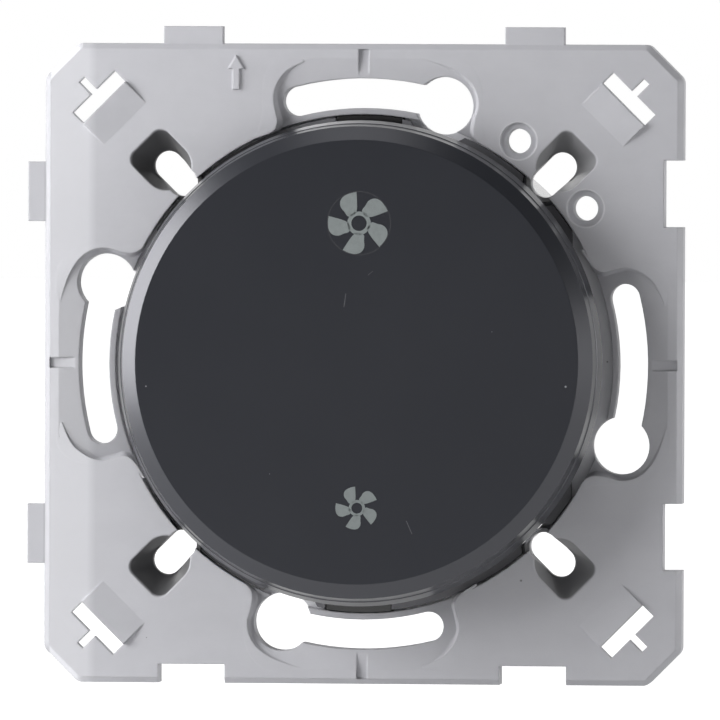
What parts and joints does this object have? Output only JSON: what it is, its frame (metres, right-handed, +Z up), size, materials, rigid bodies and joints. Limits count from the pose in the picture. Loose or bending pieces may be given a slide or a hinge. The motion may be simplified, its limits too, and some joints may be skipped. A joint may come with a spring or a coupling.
{
  "type": "fan speed control switch",
  "caption": "Flush wall switch for a fan with two speeds: a round dark rocker plate in a light grey square support frame, with a black housing behind.",
  "frame": {"origin": "centre of the screw circle in the plane of the wall, at the frame's back", "axes": "+Y into the wall, +Z up, +X to the right when seen from the room"},
  "size_m": [0.0729, 0.0399, 0.0729],
  "materials": {
    "frame_plastic": "satin",
    "cover_plastic": "satin",
    "plate_plastic": "satin",
    "housing_plastic": "gloss",
    "cradle_plastic": "satin",
    "lever_plastic": "satin",
    "contact_brass": "satin",
    "contact_silver": "satin",
    "spring_steel": "satin"
  },
  "bodies": {
    "root": {"support_frame": "frame_plastic", "front_cover": "cover_plastic", "rear_housing": "housing_plastic", "fixed_contact_high": "contact_silver", "fixed_contact_low": "contact_silver", "high_terminal": "contact_brass", "low_terminal": "contact_brass", "common_terminal": "contact_brass", "clamp_spring_high": "spring_steel", "clamp_spring_low": "spring_steel", "clamp_spring_common": "spring_steel"},
    "rocker": {"finger_plate": "plate_plastic", "rocker_cradle": "cradle_plastic", "rocker_plunger": "lever_plastic", "plunger_spring": "spring_steel"},
    "contact_blade": {"changeover_blade": "contact_brass", "moving_contact_high": "contact_silver", "moving_contact_low": "contact_silver"},
    "high_lever": {"release_lever_high": "lever_plastic"},
    "low_lever": {"release_lever_low": "lever_plastic"},
    "common_lever": {"release_lever_common": "lever_plastic"}
  },
  "joints": [
    {"name": "rocker_tilt", "type": "hinge", "parent": "root", "child": "rocker", "pos_m": [0, -0.0035, 0], "axis": [1, 0, 0], "range_deg": [0, 5]},
    {"name": "blade_tilt", "type": "hinge", "parent": "root", "child": "contact_blade", "pos_m": [0, 0.0074, 0], "axis": [1, 0, 0], "range_deg": [-12, 0]},
    {"name": "high_lever_press", "type": "slide", "parent": "root", "child": "high_lever", "axis": [0, -1, 0], "range_m": [0, 0.0015], "stiffness_N_per_m": 2000, "deforming": ["clamp_spring_high"]},
    {"name": "low_lever_press", "type": "slide", "parent": "root", "child": "low_lever", "axis": [0, -1, 0], "range_m": [0, 0.0015], "stiffness_N_per_m": 2000, "deforming": ["clamp_spring_low"]},
    {"name": "common_lever_press", "type": "slide", "parent": "root", "child": "common_lever", "axis": [0, -1, 0], "range_m": [0, 0.0015], "stiffness_N_per_m": 2000, "deforming": ["clamp_spring_common"]}
  ],
  "couplings": [
    {"joint": "blade_tilt", "follows": "rocker_tilt", "ratio": -2.4}
  ]
}
